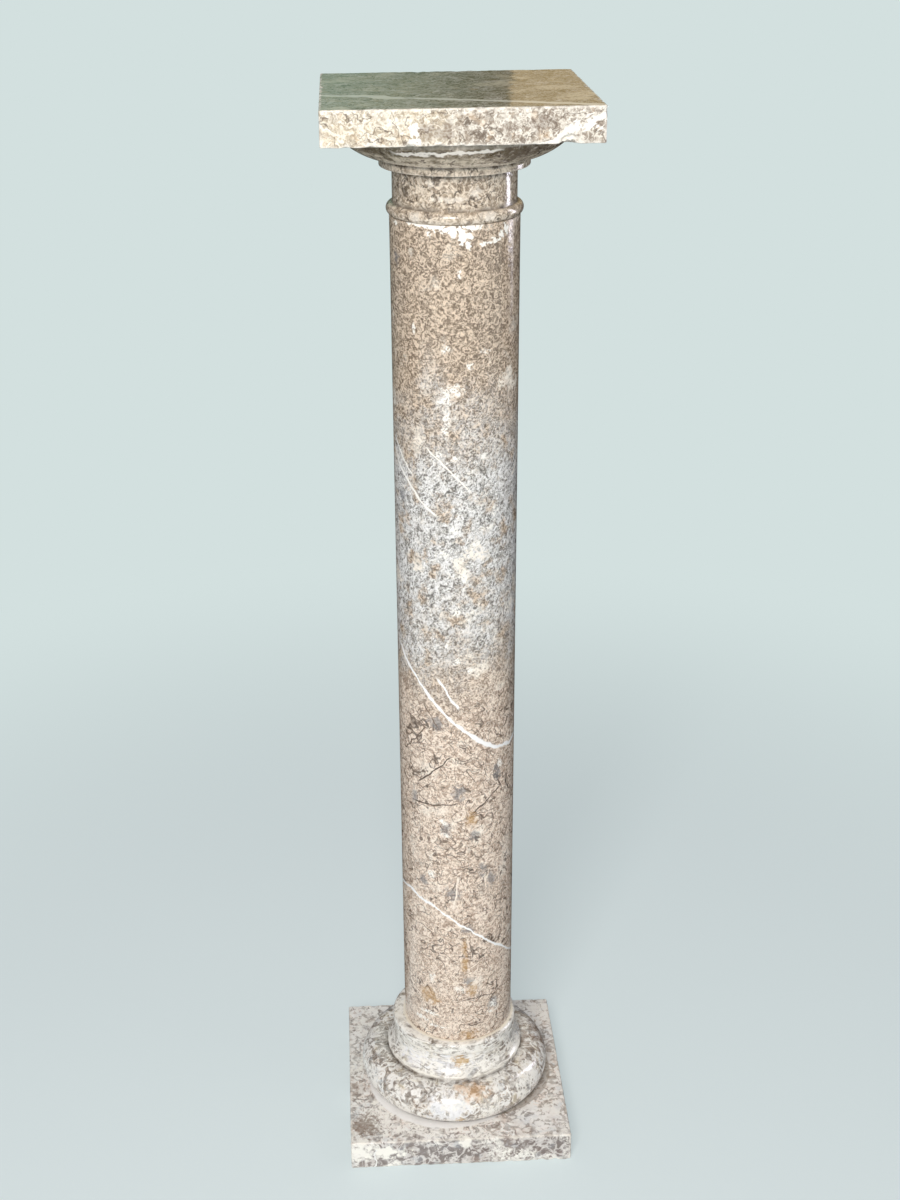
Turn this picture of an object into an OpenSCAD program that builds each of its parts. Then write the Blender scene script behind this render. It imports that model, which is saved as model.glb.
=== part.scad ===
// Free-standing Doric column in marble: a square plinth, a turned base, a plain shaft,
// a turned capital and a square abacus, each one stone, stacked and standing by their own weight.
// Millimetres, +Z up. The origin is the middle of the plinth's underside.

/* [Slabs] */
// Side of the square plinth
plinth_side = 225; // [215:1:240]
// Thickness of the plinth
plinth_h = 32; // [20:1:50]
// Side of the square abacus
abacus_side = 225; // [215:1:240]
// Thickness of the abacus
abacus_h = 29; // [20:1:45]
// Width of the bevel that eases every arris of both slabs
slab_ease = 1.2; // [0.4:0.2:3]

/* [Base] */
// How far the torus stands in from the plinth's sides
torus_in = 14.5; // [8:0.5:24]
// Height of the torus, which is round in section
torus_h = 39; // [30:1:46]
// Height of the thin fillet that lies on the torus
base_fillet_h = 4.5; // [2:0.5:8]
// How deep the hollow of the scotia goes in from the edge of that fillet
scotia_depth = 10; // [6:0.5:14]
// Radius of the hollow of the scotia
scotia_r = 22; // [18:1:30]
// Height of the scotia
scotia_h = 23.5; // [20:0.5:32]
// How far the ring overhangs the scotia where that is narrowest
ring_lip = 3.5; // [2:0.5:6]
// Width of the ledge that the ring leaves around the foot of the shaft
ring_ledge = 8.5; // [6:0.5:12]
// Height of the ring
ring_h = 12; // [8:1:18]
// Bevel at the ring's upper edge
ring_ease = 2; // [0.5:0.5:2.5]

/* [Shaft] */
// Height of the shaft
shaft_h = 836; // [600:4:1100]
// Diameter of the shaft at its top
shaft_top_d = 113; // [109:1:116]
// Diameter of the shaft at its foot
shaft_foot_d = 111; // [106:1:114]
// Bevel around the foot of the shaft
shaft_ease = 1.5; // [0.5:0.5:3]
// How far the shaft and all above it stand to the right of the middle of the base
shaft_set = 4; // [0:0.5:4]

/* [Capital] */
// How far the astragal, the round ring under the neck, stands out from the top of the shaft
astragal_out = 2.7; // [1.5:0.1:5]
// Height of the astragal, which is round in section
astragal_h = 10.8; // [8:0.2:14]
// How far the neck stands in from the top of the shaft
neck_in = 2.8; // [0:0.1:5]
// Height of the neck
neck_h = 30.8; // [20:0.2:50]
// How far the fillet above the neck stands out from it
capital_fillet_out = 10.9; // [6:0.1:14]
// Height of that fillet
capital_fillet_h = 6.8; // [4:0.2:12]
// How far the echinus stands in from the abacus's sides
echinus_in = 10.5; // [6:0.5:18]
// Height of the rounded part of the echinus
echinus_h = 21.6; // [16:0.2:30]
// Radius of the curve of the echinus
echinus_r = 60; // [40:1:90]
// Height of the upright band between that curve and the abacus
echinus_band_h = 4; // [2:0.5:8]

/* [Hidden] */
$fn = 96;

// heights of the joints above the floor
base_z = plinth_h;
shaft_z = base_z + torus_h + base_fillet_h + scotia_h + ring_h;
capital_z = shaft_z + shaft_h;
abacus_z = capital_z + astragal_h + neck_h + capital_fillet_h + echinus_h + echinus_band_h;

// diameters of the base's mouldings: the torus follows the plinth, the others the shaft's foot
torus_d = plinth_side - 2 * torus_in;
ring_d = shaft_foot_d + 2 * ring_ledge;
scotia_d = ring_d - 2 * ring_lip;
base_fillet_d = scotia_d + 2 * scotia_depth;

// diameters of the capital's mouldings: the echinus follows the abacus, the others the shaft's top
astragal_d = shaft_top_d + 2 * astragal_out;
neck_d = shaft_top_d - 2 * neck_in;
capital_fillet_d = neck_d + 2 * capital_fillet_out;
echinus_d = abacus_side - 2 * echinus_in;

// centre of a circle of radius r through p and q, on the left of the way from p to q
function arc_centre(p, q, r) =
    let (half = (q - p) / 2, run = norm(half), rise = sqrt(r * r - run * run))
    p + half + [-half[1], half[0]] * rise / run;

// radial half of a round moulding: an upright disc edge of diameter d, height h, at height z
module band(d, h, z) {
    translate([0, z])
        square([d / 2, h]);
}

// radial half of a moulding whose edge is a half round as high as the moulding
module half_round(d, h, z) {
    band(d - h, h, z);
    translate([(d - h) / 2, z + h / 2])
        circle(d = h);
}

// square with its four corners bevelled, standing on its own middle
module bevelled_square(w, h, ease) {
    polygon([
        [-w / 2 + ease, 0], [w / 2 - ease, 0], [w / 2, ease], [w / 2, h - ease],
        [w / 2 - ease, h], [-w / 2 + ease, h], [-w / 2, h - ease], [-w / 2, ease]
    ]);
}

// square slab with every arris bevelled: the two side views meet the plan
module slab(side, h, ease) {
    intersection() {
        rotate([90, 0, 0])
            linear_extrude(side, center = true)
                bevelled_square(side, h, ease);
        rotate([90, 0, 90])
            linear_extrude(side, center = true)
                bevelled_square(side, h, ease);
        linear_extrude(h)
            translate([0, -side / 2])
                bevelled_square(side, side, ease);
    }
}

module plinth() {
    color("#8f8681")
        slab(plinth_side, plinth_h, slab_ease);
}

// torus, fillet, scotia and ring, turned from one stone
module base_outline() {
    fillet_z = torus_h;
    scotia_z = fillet_z + base_fillet_h;
    ring_z = scotia_z + scotia_h;
    // the hollow's circle starts at the fillet's edge and touches the scotia's narrowest line
    hollow_x = scotia_d / 2 + scotia_r;
    hollow_reach = scotia_r - scotia_depth;
    hollow_z = scotia_z + sqrt(scotia_r * scotia_r - hollow_reach * hollow_reach);
    half_round(torus_d, torus_h, 0);
    band(base_fillet_d, base_fillet_h, fillet_z);
    difference() {
        band(base_fillet_d, scotia_h, scotia_z);
        translate([hollow_x, hollow_z])
            circle(r = scotia_r);
    }
    band(ring_d, ring_h - ring_ease, ring_z);
    polygon([
        [0, ring_z], [ring_d / 2, ring_z + ring_h - ring_ease],
        [ring_d / 2 - ring_ease, ring_z + ring_h], [0, ring_z + ring_h]
    ]);
}

module base() {
    color("#a69b90")
        translate([0, 0, base_z])
            rotate_extrude()
                base_outline();
}

module shaft() {
    ease_d = shaft_foot_d - 2 * shaft_ease;
    color("#9a8470")
        translate([shaft_set, 0, shaft_z])
            rotate_extrude()
                polygon([
                    [0, 0], [ease_d / 2, 0], [shaft_foot_d / 2, shaft_ease],
                    [shaft_top_d / 2, shaft_h], [0, shaft_h]
                ]);
}

// astragal, neck, fillet and echinus, turned from one stone
module capital_outline() {
    neck_z = astragal_h;
    fillet_z = neck_z + neck_h;
    echinus_z = fillet_z + capital_fillet_h;
    band_z = echinus_z + echinus_h;
    foot = [capital_fillet_d / 2, echinus_z];
    rim = [echinus_d / 2, band_z];
    curve = arc_centre(foot, rim, echinus_r);
    half_round(astragal_d, astragal_h, 0);
    band(neck_d, neck_h, neck_z);
    band(capital_fillet_d, capital_fillet_h, fillet_z);
    intersection() {
        translate(curve)
            circle(r = echinus_r);
        band(echinus_d, echinus_h, echinus_z);
    }
    band(capital_fillet_d, echinus_h, echinus_z);
    band(echinus_d, echinus_band_h, band_z);
}

module capital() {
    color("#a8937d")
        translate([shaft_set, 0, capital_z])
            rotate_extrude()
                capital_outline();
}

module abacus() {
    color("#cbbda8")
        translate([shaft_set, 0, abacus_z])
            slab(abacus_side, abacus_h, slab_ease);
}

plinth();
base();
shaft();
capital();
abacus();
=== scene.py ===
# Free-standing Doric column in polished marble, five stones standing on one another:
# a square plinth, a turned base, a plain shaft, a turned capital and a square abacus.
# Metres, +Z up, the origin at the middle of the plinth's underside.
import math

import bpy
import numpy as np
from mathutils import Matrix, Vector


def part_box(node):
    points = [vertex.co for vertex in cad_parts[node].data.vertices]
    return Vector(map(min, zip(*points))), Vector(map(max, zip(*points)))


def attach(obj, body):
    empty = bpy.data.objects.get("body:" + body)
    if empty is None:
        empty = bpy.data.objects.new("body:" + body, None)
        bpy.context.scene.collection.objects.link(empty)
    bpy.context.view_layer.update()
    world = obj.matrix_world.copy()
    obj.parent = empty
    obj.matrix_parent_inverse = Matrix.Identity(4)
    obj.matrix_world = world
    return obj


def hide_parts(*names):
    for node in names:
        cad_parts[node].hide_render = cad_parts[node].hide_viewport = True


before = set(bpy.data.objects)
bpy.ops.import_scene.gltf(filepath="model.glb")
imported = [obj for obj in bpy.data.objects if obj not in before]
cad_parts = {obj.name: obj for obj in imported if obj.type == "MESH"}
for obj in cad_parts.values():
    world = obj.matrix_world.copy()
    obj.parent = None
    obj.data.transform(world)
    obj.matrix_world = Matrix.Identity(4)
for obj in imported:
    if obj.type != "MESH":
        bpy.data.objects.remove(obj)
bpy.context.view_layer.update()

# ---------------------------------------------------------------------------------------------
# Camera: a person standing close in front, eye level just above the abacus, looking down at the
# whole column. The lens sits a little left of the frame's middle, so the frame is shifted.


def placed(name, data):
    """Makes an object of that data and puts it into the scene, at the origin."""
    made = bpy.data.objects.new(name, data)
    bpy.context.scene.collection.objects.link(made)
    return made


eye = Vector((-0.0912, -1.4820, 1.2462))
turned_right = math.radians(2.384)
tipped_down = math.radians(24.186)
leaning = math.radians(-0.751)
camera_data = bpy.data.cameras.new("eye")
camera_data.sensor_width = 36.0
camera_data.lens = 51.61
camera_data.shift_x = 0.0243
camera_data.shift_y = 0.0028
camera_data.clip_start = 0.05
camera_data.clip_end = 100.0
camera = placed("eye", camera_data)
camera.matrix_world = (
    Matrix.Translation(eye)
    @ Matrix.Rotation(-turned_right, 4, "Z")
    @ Matrix.Rotation(math.pi / 2 - tipped_down, 4, "X")
    @ Matrix.Rotation(leaning, 4, "Z")
)
bpy.context.scene.camera = camera
bpy.context.scene.view_settings.view_transform = "Standard"

# ---------------------------------------------------------------------------------------------
# Studio: a plain pale blue-grey floor that runs out into a backdrop of the same colour, one
# large soft lamp at the front left, a weaker one at the right, and even light all round.
MM = 0.001


def linear(hex_colour):
    """Turns an sRGB colour written as #rrggbb into the linear RGBA that Blender's sockets take."""
    srgb = np.array([int(hex_colour[i:i + 2], 16) for i in (1, 3, 5)]) / 255.0
    values = np.where(srgb <= 0.04045, srgb / 12.92, ((srgb + 0.055) / 1.055) ** 2.4)
    return (*values.tolist(), 1.0)


def add(tree, kind, inputs=None, **settings):
    """Adds one shader node of that kind, applies its settings, and fills or links each input by
    name or number. A node given as an input stands for its first output."""
    made = tree.nodes.new("ShaderNode" + kind)
    for name, value in settings.items():
        setattr(made, name, value)
    for name, value in (inputs or {}).items():
        if isinstance(value, bpy.types.Node):
            value = value.outputs[0]
        if isinstance(value, bpy.types.NodeSocket):
            tree.links.new(value, made.inputs[name])
        else:
            made.inputs[name].default_value = value
    return made


def blank_material(name):
    """A new empty material: the material, its node tree and the place on the object."""
    made = bpy.data.materials.new(name)
    made.use_nodes = True
    made.node_tree.nodes.clear()
    return made, made.node_tree, add(made.node_tree, "TexCoord").outputs["Object"]


def looked_at(tree):
    """1 for rays that the camera sends or that polished stone mirrors, 0 for falling light."""
    ray = add(tree, "LightPath").outputs
    return add(tree, "Math", {0: ray["Is Camera Ray"], 1: ray["Is Glossy Ray"]},
               operation="MAXIMUM")


def ramp(tree, place, axis, start, end, strength=1.0, smooth=False):
    """Mask that climbs along an axis, from 0 at the coordinate start to strength at end."""
    along = add(tree, "SeparateXYZ", {0: place}).outputs[axis]
    return add(tree, "MapRange", {"Value": along, "From Min": start, "From Max": end,
                                  "To Max": strength},
               interpolation_type="SMOOTHSTEP" if smooth else "LINEAR")


def lay(tree, ground, layers):
    """Lays each colour over the ground, in order, as strongly as its mask says. A colour is a
    hex string or another part of the tree."""
    ground = linear(ground) if isinstance(ground, str) else ground
    for mask, colour in layers:
        colour = linear(colour) if isinstance(colour, str) else colour
        ground = add(tree, "Mix", {"Factor": mask, 6: ground, 7: colour},
                     data_type="RGBA").outputs[2]
    return ground


backdrop_colour = linear("#d3e0df")
world = bpy.data.worlds.new("studio")
bpy.context.scene.world = world
world.use_nodes = True
sky = world.node_tree
sky.nodes.clear()
even_light = add(sky, "Background", {"Color": linear("#f4f6ff"), "Strength": 0.31})
far_wall = add(sky, "Background", {"Color": backdrop_colour, "Strength": 1.0})
either = add(sky, "MixShader", {0: looked_at(sky), 1: even_light, 2: far_wall})
add(sky, "OutputWorld", {"Surface": either})

floor_radius = 14.0
rim_count = 96
rim_angles = np.linspace(0, 2 * np.pi, rim_count, endpoint=False)
rim = np.column_stack([np.cos(rim_angles), np.sin(rim_angles), 0 * rim_angles]) * floor_radius
floor_mesh = bpy.data.meshes.new("floor")
floor_mesh.from_pydata(rim.tolist(), [], [list(range(rim_count))])
floor = placed("floor", floor_mesh)
# It gives the eye a plain pale ground with the column's soft shadow on it, and no horizon.
paper, tree, place = blank_material("pale matt backdrop paper")
away = add(tree, "VectorMath", {0: place}, operation="LENGTH").outputs["Value"]
fade = add(tree, "MapRange", {"Value": away, "From Min": 0.5, "From Max": 1.5,
                              "To Min": 0.50}, interpolation_type="SMOOTHSTEP")
fade = add(tree, "Math", {0: fade, 1: looked_at(tree)}, operation="MULTIPLY")
lit = add(tree, "BsdfDiffuse", {"Color": linear("#edf8fc")})
far = add(tree, "Emission", {"Color": backdrop_colour, "Strength": 1.0})
out = add(tree, "MixShader", {0: fade, 1: lit, 2: far})
add(tree, "OutputMaterial", {"Surface": out})
floor_mesh.materials.append(paper)

lamps = {
    # name: (place, size, watts, colour)
    "soft_box_front": ((-0.50, -2.35, 2.10), 1.1, 67.0, "#fff9f2"),
    "soft_box_right": ((2.0, -1.0, 1.6), 0.8, 2.0, "#fff6ea"),
}
lit_point = Vector((0.0, 0.0, 0.55))
for name, (spot, size, watts, colour) in lamps.items():
    lamp_data = bpy.data.lights.new(name, "AREA")
    lamp_data.shape = "SQUARE"
    lamp_data.size = size
    lamp_data.energy = watts
    lamp_data.color = linear(colour)[:3]
    lamp = placed(name, lamp_data)
    turned = (lit_point - Vector(spot)).to_track_quat("-Z", "Y").to_matrix().to_4x4()
    lamp.matrix_world = Matrix.Translation(spot) @ turned

cards = {
    # name: (first corner, opposite corner, colour at its left and right edge, strength); only
    # polished stone mirrors these cards, which stand round the column and light nothing
    "card_behind_left": ((-2.4, 2.6, 1.12), (-0.12, 2.6, 2.6), "#67907a", "#67907a", 1.0),
    "card_behind_middle": ((-0.12, 2.6, 1.12), (0.303, 2.6, 2.6), "#67907a", "#4f4e24", 1.0),
    "card_behind_right": ((0.303, 2.6, 1.12), (2.4, 2.6, 2.6), "#bda673", "#bda673", 1.0),
    "card_low_left": ((-2.4, 2.59, 0.0), (0.1, 2.59, 1.12), "#39423c", "#39423c", 1.0),
    "card_low_right": ((0.1, 2.59, 0.0), (2.4, 2.59, 1.12), "#382e25", "#382e25", 1.0),
    "card_left": ((-1.3, -0.5, 0.0), (-1.3, 2.6, 2.2), "#2c3d39", "#2c3d39", 1.0),
    "card_right": ((1.5, -0.1, 0.0), (1.5, 2.6, 2.2), "#5e5145", "#5e5145", 1.0),
    "card_window": ((1.49, 0.38, 0.60), (1.49, 0.70, 2.0), "#f4f2ff", "#f4f2ff", 12.0),
    "card_window_foot": ((1.49, 0.60, 0.44), (1.49, 0.86, 0.60), "#f4f2ff", "#f4f2ff", 1.5),
    "card_floor_left": ((-1.3, 0.13, 0.004), (0.0, 2.6, 0.004), "#5d574c", "#5d574c", 1.0),
    "card_floor_right": ((0.0, -0.2, 0.005), (1.5, 2.6, 0.005), "#33281f", "#33281f", 1.0),
}
for name, (first, opposite, left_colour, right_colour, strength) in cards.items():
    a, b = np.array(first), np.array(opposite)
    upright = abs(a[2] - b[2]) > 0.01
    second = np.array([b[0], b[1] if upright else a[1], a[2]])
    ring = [a.tolist(), second.tolist(), b.tolist(), (a + b - second).tolist()]
    card_mesh = bpy.data.meshes.new(name)
    card_mesh.from_pydata(ring, [], [[0, 1, 2, 3]])
    card = placed(name, card_mesh)
    for ray in ("camera", "diffuse", "shadow", "transmission", "volume_scatter"):
        setattr(card, "visible_" + ray, False)
    # It gives the eye one reflection on the polish; a card that stands end on has no width to
    # shade over, so it takes 0.1 m.
    glow, tree, place = blank_material(name)
    share = ramp(tree, place, "X", first[0], max(opposite[0], first[0] + 0.1))
    shade = lay(tree, left_colour, [(share, right_colour)])
    shine = add(tree, "Emission", {"Color": shade, "Strength": strength})
    add(tree, "OutputMaterial", {"Surface": shine})
    card_mesh.materials.append(glow)

# ---------------------------------------------------------------------------------------------
# Plinth: a square slab of grey-mauve marble with coarse pale markings, sawn and polished, its
# arrises worn and nicked. It lies on the floor and carries everything else.


def ripple(points, wavelength, seed):
    """Smooth noise between about -1 and 1: the mean of twelve sine waves of that wavelength,
    give or take a third, that run through space in random directions with random phases."""
    dice = np.random.default_rng(seed)
    waves = 12
    directions = dice.normal(size=(waves, 3))
    directions /= np.linalg.norm(directions, axis=1)[:, None]
    lengths = wavelength * dice.uniform(0.67, 1.33, waves)
    phases = dice.uniform(0, 2 * np.pi, waves)
    angles = points @ (directions * (2 * np.pi / lengths)[:, None]).T + phases
    return np.sin(angles).sum(-1) / math.sqrt(waves)


def slab_points(middle, half, low, high, ease, corner):
    """Rings of a square slab. A ring is a square with quarter-round corners; the rings start at
    the middle of the underside, run out to the side, up it over a quarter round at either arris,
    and back in to the middle of the top."""
    flat = half * np.array([1.0, 0.8, 0.6, 0.42, 0.27, 0.16, 0.09, 0.055, 0.035, 0.022])
    flat = flat[flat > ease * 1.2]
    turn = np.linspace(0, np.pi / 2, 7)
    near = np.array([0.5, 1.1, 1.8, 2.8, 4.2]) * MM
    tall = high - low - 2 * ease
    side = np.concatenate([near, np.linspace(6 * MM, tall - 6 * MM, 8), tall - near[::-1]])
    inset = np.concatenate([flat, ease * (1 - np.sin(turn)), 0 * side, ease * (1 - np.cos(turn)),
                            flat[::-1]])
    height = np.concatenate([low + 0 * flat, low + ease * (1 - np.cos(turn)), low + ease + side,
                             high - ease * (1 - np.sin(turn)), high + 0 * flat])
    along = np.linspace(-1, 1, 141)
    corner_turn = np.linspace(0, np.pi / 2, 6)[1:-1]
    stretch = np.concatenate([along, np.ones(4)])
    out_x = np.concatenate([0 * along, np.sin(corner_turn)])
    out_y = np.concatenate([0 * along + 1, np.cos(corner_turn)])
    reach = (half - inset)[:, None]
    rounding = np.clip(corner - inset, 0, None)[:, None]
    x = stretch * (reach - rounding) + rounding * out_x
    y = -(reach - rounding) - rounding * out_y
    x, y = np.hstack([x, -y, -x, y]), np.hstack([y, x, -y, -x])
    return np.dstack([x + middle, y, np.broadcast_to(height[:, None], x.shape)])


def arris_wear(points, middle, half, low, high, width):
    """How worn a slab is: 1 on its arrises, falling off over width. The distance to the nearest
    arris is the sum of the distances to the two nearest faces."""
    gaps = np.sort(np.dstack([half - abs(points[..., 0] - middle), half - abs(points[..., 1]),
                              np.minimum(points[..., 2] - low, high - points[..., 2])]), axis=-1)
    off = np.clip(gaps[..., 0] + gaps[..., 1], 0, None)
    return np.exp(-(off / width) ** 2)


def inward(points, low, high):
    """Unit directions into a slab: from each point to the nearest point of a box 12 mm smaller
    all round, so that an arris breaks back along its diagonal."""
    core = np.clip(points, np.array(low) + 12 * MM, np.array(high) - 12 * MM)
    return (core - points) / np.linalg.norm(core - points, axis=-1)[..., None]


def stray_nicks(low, high, count, seed):
    """Small chips at random along the eight long arrises of a slab, as nick takes them."""
    dice = np.random.default_rng(seed)
    share = dice.uniform(0, 1, (count, 2))
    side = dice.integers(0, 4, count)
    across = np.select([side == 0, side == 1, side == 2], [share[:, 0], 1, share[:, 0]], 0)
    along = np.select([side == 0, side == 1, side == 2], [0, share[:, 0], 1], share[:, 0])
    level = dice.integers(0, 2, count)
    size = (1.8 + 2.6 * share[:, 1]) * MM
    low, high = np.array(low), np.array(high)
    places = low + (high - low) * np.column_stack([across, along, level])
    return np.column_stack([places, size, 0.4 * size]).tolist()


def nick(points, wear, spots, ways):
    """Breaks chips out of a surface. Each spot is (x, y, z, size, depth): points nearer to it
    than size are pushed along their ways by depth, less towards the rim, with a rough floor,
    and the break counts as worn."""
    start = points
    for x, y, z, size, depth in spots:
        off = np.linalg.norm(start - (x, y, z), axis=-1) / size
        bite = np.clip(1 - off**2, 0, 1) * (0.8 + 0.35 * ripple(start, size * 0.7, int(size * 1e6)))
        points = points + ways * (bite * depth)[..., None]
        wear = np.maximum(wear, np.clip(bite * 2.0, 0, 1))
    return points, wear


def worn_slab(low, high, ease, corner, reach, waves, deepest, chips, seed):
    """A square slab between two corners, and how worn it is. The wear reaches so far from the
    arrises, unevenly, at two wavelengths, and rounds them off by up to deepest; then the chips
    are broken out."""
    middle, half = (low.x + high.x) / 2, (high.y - low.y) / 2
    rings = slab_points(middle, half, low.z, high.z, ease, corner)
    wear = arris_wear(rings, middle, half, low.z, high.z, reach)
    wear *= 0.75 + 0.5 * ripple(rings, waves[0], seed)
    rounding = wear * np.clip(0.35 + 0.5 * ripple(rings, waves[1], seed + 1), 0, 1) * deepest
    ways = inward(rings, low, high)
    return nick(rings + ways * rounding[..., None], wear, chips, ways)


def surface(name, points, marks, body, node):
    """Makes a closed mesh from rings of points: quads between neighbouring rings, and the first
    and last ring drawn together into one point each, closed by a fan of triangles. marks holds
    numbers per point, such as wear, that the material reads by name."""
    rows, columns = points.shape[:2]
    count = (rows - 2) * columns
    number = np.arange(count).reshape(rows - 2, columns)
    ahead = np.roll(number, -1, axis=1)
    quads = np.dstack([number[:-1], ahead[:-1], ahead[1:], number[1:]]).reshape(-1, 4)
    bottom = np.column_stack([ahead[0], number[0], np.full(columns, count)])
    top = np.column_stack([number[-1], ahead[-1], np.full(columns, count + 1)])
    corners = np.vstack([points[1:-1].reshape(-1, 3), points[0].mean(0), points[-1].mean(0)])
    mesh = bpy.data.meshes.new(name)
    mesh.from_pydata(corners.tolist(), [], quads.tolist() + bottom.tolist() + top.tolist())
    mesh.polygons.foreach_set("use_smooth", np.ones(len(mesh.polygons), bool))
    for label, values in marks.items():
        layer = mesh.attributes.new(label, "FLOAT", "POINT")
        ends = [0.0, 0.0]
        layer.data.foreach_set("value", np.append(values[1:-1].ravel(), ends).astype(np.float32))
    mesh.update()
    piece = placed(name, mesh)
    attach(piece, body)
    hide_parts(node)
    return piece


def noise(tree, place, size, seed, detail=2.0, distortion=0.0):
    """Noise between 0 and 1 whose patches are about size metres across."""
    return add(tree, "TexNoise", {"Vector": place, "W": seed, "Scale": 1 / size, "Detail": detail,
                                  "Distortion": distortion}, noise_dimensions="4D").outputs["Fac"]


def clouds(tree, place, size, seed, low, high, detail=3.0, strength=1.0):
    """Mask of soft patches: noise stretched so that low becomes 0 and high becomes strength."""
    value = noise(tree, place, size, seed, detail)
    return add(tree, "MapRange", {"Value": value, "From Min": low, "From Max": high,
                                  "To Max": strength}, interpolation_type="SMOOTHSTEP")


def threads(tree, place, spacing, thickness, seed, strength=1.0):
    """Mask of thin curling lines: they lie where a smooth noise crosses its middle value."""
    value = noise(tree, place, spacing, seed, 2.0, 0.9)
    off = add(tree, "Math", {0: value, 1: 0.5}, operation="SUBTRACT")
    off = add(tree, "Math", {0: off}, operation="ABSOLUTE")
    return add(tree, "MapRange", {"Value": off, "From Min": thickness, "From Max": 0.0,
                                  "To Max": strength})


def both_masks(tree, *masks):
    """The product of masks: it shows only where every one of them does."""
    product = masks[0]
    for mask in masks[1:]:
        product = add(tree, "Math", {0: product, 1: mask}, operation="MULTIPLY")
    return product


def warped(tree, place, amount, size, seed):
    """The place pushed about by up to half of amount, by noise whose patches are size across."""
    push = add(tree, "TexNoise", {"Vector": place, "W": seed, "Scale": 1 / size, "Detail": 2.0},
               noise_dimensions="4D").outputs["Color"]
    push = add(tree, "VectorMath", {0: push, 1: (0.5, 0.5, 0.5)}, operation="SUBTRACT")
    return add(tree, "VectorMath", {0: push, 1: (amount,) * 3, 2: place}, operation="MULTIPLY_ADD")


def curls(tree, place, spacing, seed):
    """Curling strokes, spacing apart: a smooth noise is carried through four turns of a sine, so
    that its contour lines come out as loops. It is -1 along dark strokes and 1 along pale ones."""
    value = noise(tree, place, 2.4 * spacing, seed, 1.0, 0.8)
    value = add(tree, "Math", {0: value, 1: 8 * math.pi}, operation="MULTIPLY")
    return add(tree, "Math", {0: value}, operation="SINE")


def breccia(tree, place, tones, marks, seed):
    """Ground of the stone: two middle tones in soft clouds, then broken curling strokes, dark
    and pale, at two sizes, and grit. marks gives the size of the grit, the spacing of the
    strokes, and how strongly dark strokes, pale strokes and grit show."""
    grit, spacing, dark, pale, gritty = marks
    first_tone, second_tone, dark_tone, pale_tone = tones
    winding = warped(tree, place, 0.6 * spacing, spacing, seed)
    layers = [
        (clouds(tree, place, 40 * MM, seed + 2, 0.38, 0.62), second_tone),
        (clouds(tree, winding, 2.4 * spacing, seed + 7, 0.50, 0.36, strength=0.12), dark_tone),
        (clouds(tree, winding, 1.9 * spacing, seed + 8, 0.52, 0.66, strength=0.22), pale_tone),
        (clouds(tree, winding, grit, seed + 3, 0.46, 0.34, strength=gritty), dark_tone),
        (clouds(tree, winding, grit, seed + 4, 0.54, 0.66, strength=gritty), pale_tone),
    ]
    for size, share in ((0.55, 0.9), (1.0, 0.8)):
        curl = curls(tree, winding, size * spacing, seed + 20 + size)
        whole = clouds(tree, place, 1.3 * size * spacing, seed + 30 + size, 0.33, 0.47)
        for side, tone, strength in ((-1, dark_tone, dark), (1, pale_tone, pale)):
            stroke = add(tree, "MapRange", {"Value": curl, "From Min": 0.3 * side,
                                            "From Max": 0.8 * side, "To Max": share * strength})
            layers.append((both_masks(tree, stroke, whole), tone))
    return lay(tree, first_tone, layers)


def scribble(tree, place, across, spacing, cover, seed):
    """Mask of feathery patches about across wide, made of short curling strokes whose spacing
    is given. cover is the noise level at which the patches end: lower means more of them."""
    strokes = threads(tree, place, spacing, 0.13, seed + 1)
    flecks = clouds(tree, place, spacing * 0.7, seed + 2, 0.54, 0.62)
    strokes = add(tree, "Math", {0: strokes, 1: flecks}, operation="MAXIMUM")
    return both_masks(tree, clouds(tree, place, across, seed, cover, cover + 0.1), strokes)


def hairlines(tree, place, spacing, thickness, seed):
    """Mask of thin dark cracks that wander and break off."""
    whole = clouds(tree, place, spacing * 0.8, seed + 1, 0.38, 0.46)
    return both_masks(tree, threads(tree, place, spacing, 0.6 * thickness / spacing, seed), whole)


def patches(tree, place, spots):
    """Soft mask of spots. Each spot is its middle, its width and its height: the mask falls from
    1 near the middle of that ellipsoid through a half at its edge to 0 well outside."""
    shown = 0.0
    for middle, wide, tall in spots:
        off = add(tree, "VectorMath", {0: place, 1: middle}, operation="SUBTRACT")
        off = add(tree, "VectorMath", {0: off, 1: (2 / wide, 2 / wide, 2 / tall)},
                  operation="MULTIPLY")
        off = add(tree, "VectorMath", {0: off}, operation="LENGTH")
        spot = add(tree, "MapRange", {"Value": off.outputs["Value"], "From Min": 1.7,
                                      "From Max": 0.3})
        shown = add(tree, "Math", {0: shown, 1: spot}, operation="MAXIMUM")
    return shown


def stains(tree, place, crumbling, spots, grain, seed, strength=1.0, soft=0.2):
    """Spots with crumbled edges: noise of that grain, taken at the place crumbling, is added to
    the soft mask of the spots, and what then lies above the middle shows, from nothing to
    strength over the range soft. Nothing shows where the soft mask itself is 0."""
    shape = patches(tree, place, spots)
    value = noise(tree, crumbling, grain, seed, 3.0)
    value = add(tree, "Math", {0: value, 1: 3.4, 2: shape}, operation="MULTIPLY_ADD")
    shown = add(tree, "MapRange", {"Value": value, "From Min": 2.25 - soft / 2,
                                   "From Max": 2.25 + soft / 2, "To Max": strength})
    near = add(tree, "MapRange", {"Value": shape, "From Max": 0.25})
    return both_masks(tree, shown, near)


def disc(tree, place, middle, radius, soft, strength):
    """Mask of an upright round drum: strength inside radius of its middle, fading over soft."""
    off = add(tree, "VectorMath", {0: place, 1: middle}, operation="SUBTRACT")
    off = add(tree, "VectorMath", {0: off, 1: (1.0, 1.0, 0.0)}, operation="MULTIPLY")
    off = add(tree, "VectorMath", {0: off}, operation="LENGTH")
    return add(tree, "MapRange", {"Value": off.outputs["Value"], "From Min": radius + soft,
                                  "From Max": radius, "To Max": strength})


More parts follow.
